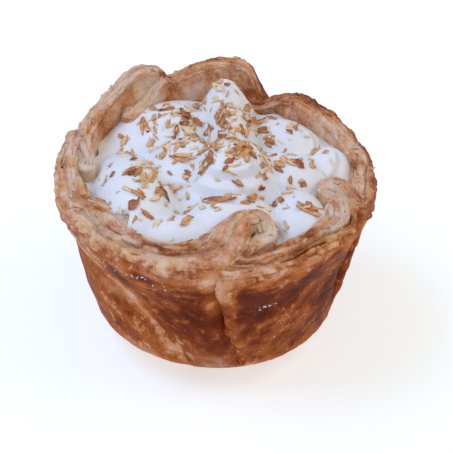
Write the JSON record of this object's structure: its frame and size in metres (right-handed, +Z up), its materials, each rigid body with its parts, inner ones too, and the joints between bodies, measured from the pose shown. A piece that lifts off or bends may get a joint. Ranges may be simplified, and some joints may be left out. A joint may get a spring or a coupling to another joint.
{
  "type": "coconut cream pie",
  "caption": "Small deep pie: a pleated puff pastry cup with a ragged layered rim, filled with soft whipped cream and strewn with toasted coconut flakes.",
  "frame": {"origin": "the point of the flat underside below the middle of the rim", "axes": "+Z up; -Y towards the viewer of the picture, the side with the long tongue of folded pastry at the rim"},
  "size_m": [0.0961, 0.0962, 0.0689],
  "materials": {
    "pastry": "baked puff pastry, golden brown, slightly glossy with butter on the wall and matt and flaky at the rim",
    "cream": "soft whipped cream, white and satin",
    "coconut": "toasted coconut chips, straw to brown, matt"
  },
  "bodies": {
    "root": {"pastry": "pastry", "cream": "cream"}
  },
  "joints": []
}
